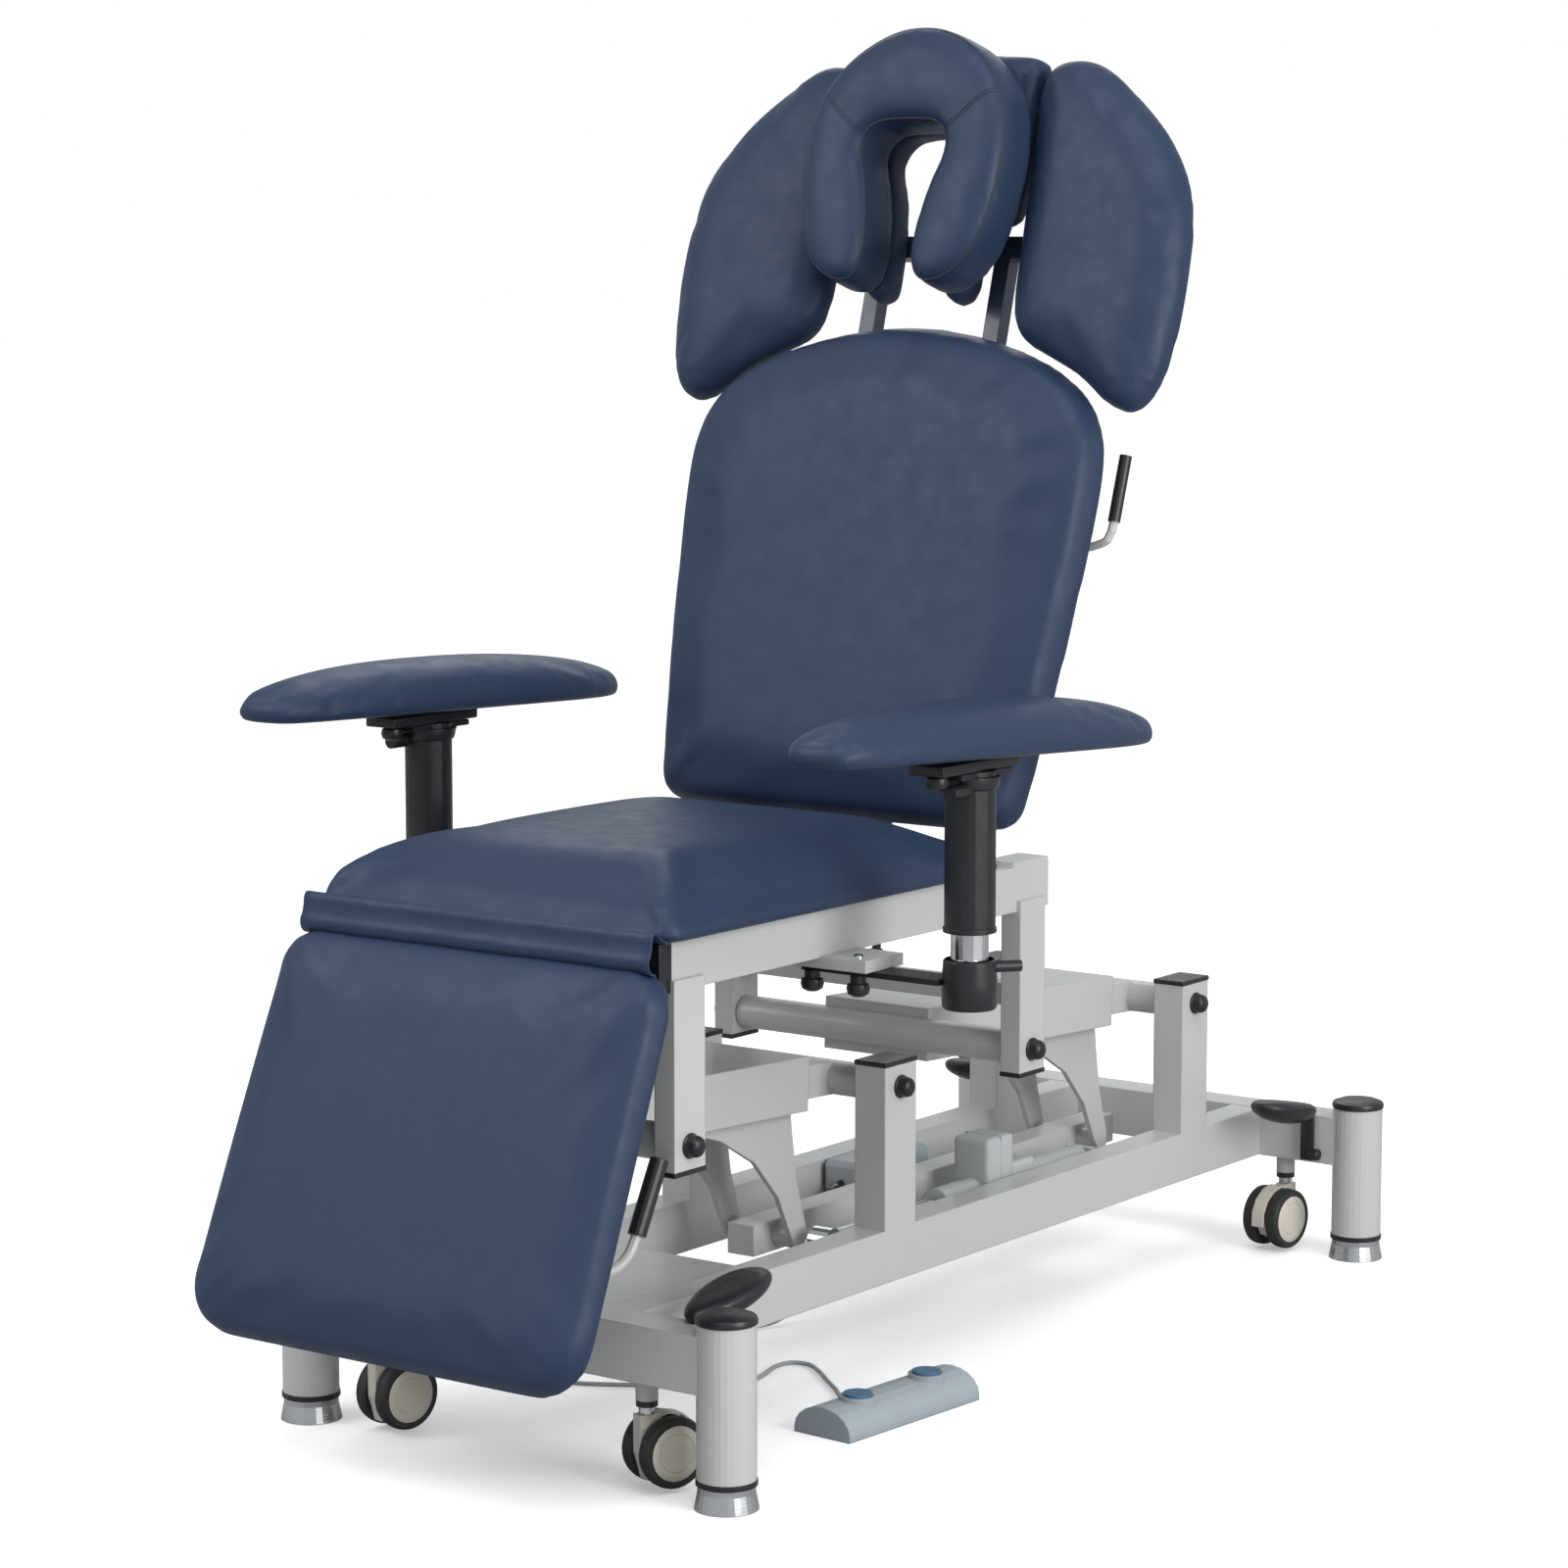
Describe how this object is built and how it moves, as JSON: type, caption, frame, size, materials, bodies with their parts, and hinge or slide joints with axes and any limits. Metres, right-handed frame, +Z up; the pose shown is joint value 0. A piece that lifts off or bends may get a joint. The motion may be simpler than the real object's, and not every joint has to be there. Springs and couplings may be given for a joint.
{
  "type": "patient recliner chair",
  "caption": "Electric treatment chair: lifting base with castors, hinged padded leg, seat and back sections, adjustable armrests, side wings, a face cradle and a corded foot switch.",
  "frame": {"origin": "on the floor under the middle of the chair's overall box", "axes": "+Z up, the sitter faces -Y, so the sitter's left is +X"},
  "size_m": [0.86, 1.5467, 1.4757],
  "materials": {
    "base_frame": "gloss powder coat",
    "front_deck_plate": "gloss",
    "foot_steel": "brushed",
    "castor_stem": "polished",
    "castor_fork": "satin",
    "castor_wheels": "matte",
    "pedal": "satin",
    "control_box": "satin",
    "foot_switch": "matte",
    "foot_button": "satin",
    "cord": "matte",
    "lift_arm": "gloss powder coat",
    "actuator_body": "satin",
    "actuator_rod": "polished",
    "upper_frame": "gloss powder coat",
    "vinyl": "satin vinyl",
    "section_frame": "gloss powder coat",
    "lever": "satin",
    "spring_body": "satin black",
    "spring_rod": "polished",
    "head_frame": "satin navy",
    "armrest_metal": "satin",
    "armrest_post": "satin"
  },
  "bodies": {
    "base": {"base_frame": "base_frame", "front_deck_plate": "front_deck_plate", "control_box": "control_box", "foot_switch_housing": "foot_switch", "cord_to_control_box": "cord", "cord_to_foot_switch": "cord", "cord_coil": "cord", "front_left_foot": "foot_steel", "rear_left_foot": "foot_steel", "front_right_foot": "foot_steel", "rear_right_foot": "foot_steel"},
    "front_lift_arm": {"front_lift_arm": "lift_arm"},
    "rear_lift_arm": {"rear_lift_arm": "lift_arm"},
    "tie_bar": {"tie_bar": "lift_arm"},
    "actuator_housing": {"actuator_housing": "actuator_body"},
    "actuator_rod": {"actuator_rod": "actuator_rod"},
    "upper_frame": {"upper_frame": "upper_frame", "seat_cushion": "vinyl"},
    "leg_rest": {"leg_rest_frame": "section_frame", "leg_rest_cushion": "vinyl"},
    "leg_rest_lever": {"leg_rest_release_lever": "lever"},
    "leg_gas_spring": {"leg_gas_spring_cylinder": "spring_body"},
    "leg_gas_spring_rod": {"leg_gas_spring_rod": "spring_rod"},
    "backrest": {"backrest_frame": "section_frame", "backrest_cushion": "vinyl"},
    "backrest_lever": {"backrest_release_lever": "lever"},
    "back_gas_spring": {"back_gas_spring_cylinder": "spring_body"},
    "back_gas_spring_rod": {"back_gas_spring_rod": "spring_rod"},
    "head_section": {"head_frame": "head_frame", "head_wing_left": "vinyl", "head_wing_right": "vinyl"},
    "face_cradle": {"head_centre_panel": "vinyl", "face_cushion": "vinyl", "face_cushion_mount": "lever"},
    "left_armrest_bar": {"left_armrest_bar": "armrest_metal"},
    "left_armrest_post": {"left_armrest_post": "armrest_post"},
    "left_armrest_pad": {"left_armrest_pad": "vinyl"},
    "right_armrest_bar": {"right_armrest_bar": "armrest_metal"},
    "right_armrest_post": {"right_armrest_post": "armrest_post"},
    "right_armrest_pad": {"right_armrest_pad": "vinyl"},
    "front_left_pedal": {"front_left_pedal": "pedal"},
    "front_left_castor_stem": {"front_left_castor_stem": "castor_stem"},
    "front_left_castor_fork": {"front_left_castor_fork": "castor_fork"},
    "front_left_castor_wheels": {"front_left_castor_wheels": "castor_wheels"},
    "rear_left_pedal": {"rear_left_pedal": "pedal"},
    "rear_left_castor_stem": {"rear_left_castor_stem": "castor_stem"},
    "rear_left_castor_fork": {"rear_left_castor_fork": "castor_fork"},
    "rear_left_castor_wheels": {"rear_left_castor_wheels": "castor_wheels"},
    "front_right_pedal": {"front_right_pedal": "pedal"},
    "front_right_castor_stem": {"front_right_castor_stem": "castor_stem"},
    "front_right_castor_fork": {"front_right_castor_fork": "castor_fork"},
    "front_right_castor_wheels": {"front_right_castor_wheels": "castor_wheels"},
    "rear_right_pedal": {"rear_right_pedal": "pedal"},
    "rear_right_castor_stem": {"rear_right_castor_stem": "castor_stem"},
    "rear_right_castor_fork": {"rear_right_castor_fork": "castor_fork"},
    "rear_right_castor_wheels": {"rear_right_castor_wheels": "castor_wheels"},
    "foot_button_up": {"foot_button_up": "foot_button"},
    "foot_button_down": {"foot_button_down": "foot_button"}
  },
  "joints": [
    {"name": "lift", "type": "hinge", "parent": "base", "child": "front_lift_arm", "pos_m": [0, -0.0646, 0.329], "axis": [-1, 0, 0], "range_deg": [-12.5, 42]},
    {"name": "rear_arm_lift", "type": "hinge", "parent": "base", "child": "rear_lift_arm", "pos_m": [0, 0.5574, 0.329], "axis": [-1, 0, 0], "range_deg": [-12.5, 42]},
    {"name": "upper_frame_level", "type": "hinge", "parent": "front_lift_arm", "child": "upper_frame", "pos_m": [0, -0.5158, 0.35], "axis": [-1, 0, 0], "range_deg": [-42, 12.5]},
    {"name": "tie_bar_swing", "type": "hinge", "parent": "front_lift_arm", "child": "tie_bar", "pos_m": [0, -0.1061, 0.155], "axis": [-1, 0, 0], "range_deg": [-42, 12.5]},
    {"name": "actuator_swing", "type": "hinge", "parent": "base", "child": "actuator_housing", "pos_m": [0.08, 0.3989, 0.155], "axis": [-1, 0, 0], "range_deg": [-2, 7]},
    {"name": "actuator_stroke", "type": "slide", "parent": "actuator_housing", "child": "actuator_rod", "axis": [0, -1, 0], "range_m": [-0.035, 0.115]},
    {"name": "leg_rest_raise", "type": "hinge", "parent": "upper_frame", "child": "leg_rest", "pos_m": [0, -0.5731, 0.543], "axis": [-1, 0, 0], "range_deg": [0, 67]},
    {"name": "leg_lever_pull", "type": "hinge", "parent": "leg_rest", "child": "leg_rest_lever", "pos_m": [0.2, -0.65326, 0.2491], "axis": [1, 0, 0], "range_deg": [0, 12]},
    {"name": "leg_gas_spring_swing", "type": "hinge", "parent": "upper_frame", "child": "leg_gas_spring", "pos_m": [0, -0.1971, 0.49], "axis": [-1, 0, 0], "range_deg": [0, 18]},
    {"name": "leg_gas_spring_stroke", "type": "slide", "parent": "leg_gas_spring", "child": "leg_gas_spring_rod", "axis": [0, -0.9644, -0.2645], "range_m": [0, 0.13]},
    {"name": "backrest_recline", "type": "hinge", "parent": "upper_frame", "child": "backrest", "pos_m": [0, 0.0529, 0.535], "axis": [-1, 0, 0], "range_deg": [-5, 74.3]},
    {"name": "back_lever_pull", "type": "hinge", "parent": "backrest", "child": "backrest_lever", "pos_m": [0.205, 0.15531, 0.90302], "axis": [0, -0.9627, 0.2706], "range_deg": [0, 12]},
    {"name": "back_gas_spring_swing", "type": "hinge", "parent": "upper_frame", "child": "back_gas_spring", "pos_m": [0, 0.1062, 0.4345], "axis": [-1, 0, 0], "range_deg": [-4, 58]},
    {"name": "back_gas_spring_stroke", "type": "slide", "parent": "back_gas_spring", "child": "back_gas_spring_rod", "axis": [0, 0.0833, 0.9965], "range_m": [-0.122, 0.009]},
    {"name": "head_extend", "type": "slide", "parent": "backrest", "child": "head_section", "axis": [0, 0.2706, 0.9627], "range_m": [0, 0.08]},
    {"name": "face_cradle_tilt", "type": "hinge", "parent": "head_section", "child": "face_cradle", "pos_m": [0, 0.24028, 1.22566], "axis": [1, 0, 0], "range_deg": [0, 20]},
    {"name": "left_armrest_width", "type": "slide", "parent": "upper_frame", "child": "left_armrest_bar", "axis": [1, 0, 0], "range_m": [0, 0.06]},
    {"name": "left_armrest_height", "type": "slide", "parent": "left_armrest_bar", "child": "left_armrest_post", "axis": [0, 0, 1], "range_m": [-0.02, 0.08]},
    {"name": "left_armrest_swivel", "type": "hinge", "parent": "left_armrest_post", "child": "left_armrest_pad", "pos_m": [0.36, -0.2451, 0.71], "axis": [0, 0, 1], "range_deg": [-90, 0]},
    {"name": "right_armrest_width", "type": "slide", "parent": "upper_frame", "child": "right_armrest_bar", "axis": [-1, 0, 0], "range_m": [0, 0.06]},
    {"name": "right_armrest_height", "type": "slide", "parent": "right_armrest_bar", "child": "right_armrest_post", "axis": [0, 0, 1], "range_m": [-0.02, 0.08]},
    {"name": "right_armrest_swivel", "type": "hinge", "parent": "right_armrest_post", "child": "right_armrest_pad", "pos_m": [-0.36, -0.2451, 0.71], "axis": [0, 0, 1], "range_deg": [0, 90]},
    {"name": "front_left_pedal_press", "type": "hinge", "parent": "base", "child": "front_left_pedal", "pos_m": [0.222, -0.5061, 0.127], "axis": [-1, 0, 0], "range_deg": [0, 20]},
    {"name": "front_left_castor_drop", "type": "slide", "parent": "base", "child": "front_left_castor_stem", "axis": [0, 0, -1], "range_m": [0, 0.02]},
    {"name": "front_left_castor_swivel", "type": "hinge", "parent": "front_left_castor_stem", "child": "front_left_castor_fork", "pos_m": [0.176, -0.5431, 0.08], "axis": [0, 0, 1], "continuous": true},
    {"name": "front_left_wheel_spin", "type": "hinge", "parent": "front_left_castor_fork", "child": "front_left_castor_wheels", "pos_m": [0.18317, -0.52443, 0.04], "axis": [0.9336, -0.3584, 0], "continuous": true},
    {"name": "rear_left_pedal_press", "type": "hinge", "parent": "base", "child": "rear_left_pedal", "pos_m": [0.222, 0.7039, 0.127], "axis": [1, 0, 0], "range_deg": [0, 20]},
    {"name": "rear_left_castor_drop", "type": "slide", "parent": "base", "child": "rear_left_castor_stem", "axis": [0, 0, -1], "range_m": [0, 0.02]},
    {"name": "rear_left_castor_swivel", "type": "hinge", "parent": "rear_left_castor_stem", "child": "rear_left_castor_fork", "pos_m": [0.176, 0.7409, 0.08], "axis": [0, 0, 1], "continuous": true},
    {"name": "rear_left_wheel_spin", "type": "hinge", "parent": "rear_left_castor_fork", "child": "rear_left_castor_wheels", "pos_m": [0.17391, 0.72101, 0.04], "axis": [-0.9945, 0.1045, 0], "continuous": true},
    {"name": "front_right_pedal_press", "type": "hinge", "parent": "base", "child": "front_right_pedal", "pos_m": [-0.222, -0.5061, 0.127], "axis": [-1, 0, 0], "range_deg": [0, 20]},
    {"name": "front_right_castor_drop", "type": "slide", "parent": "base", "child": "front_right_castor_stem", "axis": [0, 0, -1], "range_m": [0, 0.02]},
    {"name": "front_right_castor_swivel", "type": "hinge", "parent": "front_right_castor_stem", "child": "front_right_castor_fork", "pos_m": [-0.176, -0.5431, 0.08], "axis": [0, 0, 1], "continuous": true},
    {"name": "front_right_wheel_spin", "type": "hinge", "parent": "front_right_castor_fork", "child": "front_right_castor_wheels", "pos_m": [-0.17184, -0.52354, 0.04], "axis": [0.9781, -0.2079, 0], "continuous": true},
    {"name": "rear_right_pedal_press", "type": "hinge", "parent": "base", "child": "rear_right_pedal", "pos_m": [-0.222, 0.7039, 0.127], "axis": [1, 0, 0], "range_deg": [0, 20]},
    {"name": "rear_right_castor_drop", "type": "slide", "parent": "base", "child": "rear_right_castor_stem", "axis": [0, 0, -1], "range_m": [0, 0.02]},
    {"name": "rear_right_castor_swivel", "type": "hinge", "parent": "rear_right_castor_stem", "child": "rear_right_castor_fork", "pos_m": [-0.176, 0.7409, 0.08], "axis": [0, 0, 1], "continuous": true},
    {"name": "rear_right_wheel_spin", "type": "hinge", "parent": "rear_right_castor_fork", "child": "rear_right_castor_wheels", "pos_m": [-0.18118, 0.72158, 0.04], "axis": [-0.9659, 0.2588, 0], "continuous": true},
    {"name": "foot_button_up_press", "type": "slide", "parent": "base", "child": "foot_button_up", "axis": [0, 0, -1], "range_m": [0, 0.003], "stiffness_N_per_m": 600},
    {"name": "foot_button_down_press", "type": "slide", "parent": "base", "child": "foot_button_down", "axis": [0, 0, -1], "range_m": [0, 0.003], "stiffness_N_per_m": 600}
  ],
  "couplings": [
    {"joint": "rear_arm_lift", "follows": "lift", "ratio": 1},
    {"joint": "upper_frame_level", "follows": "lift", "ratio": -1},
    {"joint": "tie_bar_swing", "follows": "lift", "ratio": -1},
    {"joint": "actuator_swing", "follows": "lift", "ratio": 0.15},
    {"joint": "actuator_stroke", "follows": "lift", "m_per_rad": 0.155},
    {"joint": "leg_gas_spring_swing", "follows": "leg_rest_raise", "ratio": 0.249},
    {"joint": "leg_gas_spring_stroke", "follows": "leg_rest_raise", "m_per_rad": 0.11},
    {"joint": "back_gas_spring_swing", "follows": "backrest_recline", "ratio": 0.78},
    {"joint": "back_gas_spring_stroke", "follows": "backrest_recline", "m_per_rad": -0.093},
    {"joint": "front_left_castor_drop", "follows": "front_left_pedal_press", "m_per_rad": 0.057},
    {"joint": "rear_left_castor_drop", "follows": "rear_left_pedal_press", "m_per_rad": 0.057},
    {"joint": "front_right_castor_drop", "follows": "front_right_pedal_press", "m_per_rad": 0.057},
    {"joint": "rear_right_castor_drop", "follows": "rear_right_pedal_press", "m_per_rad": 0.057}
  ]
}
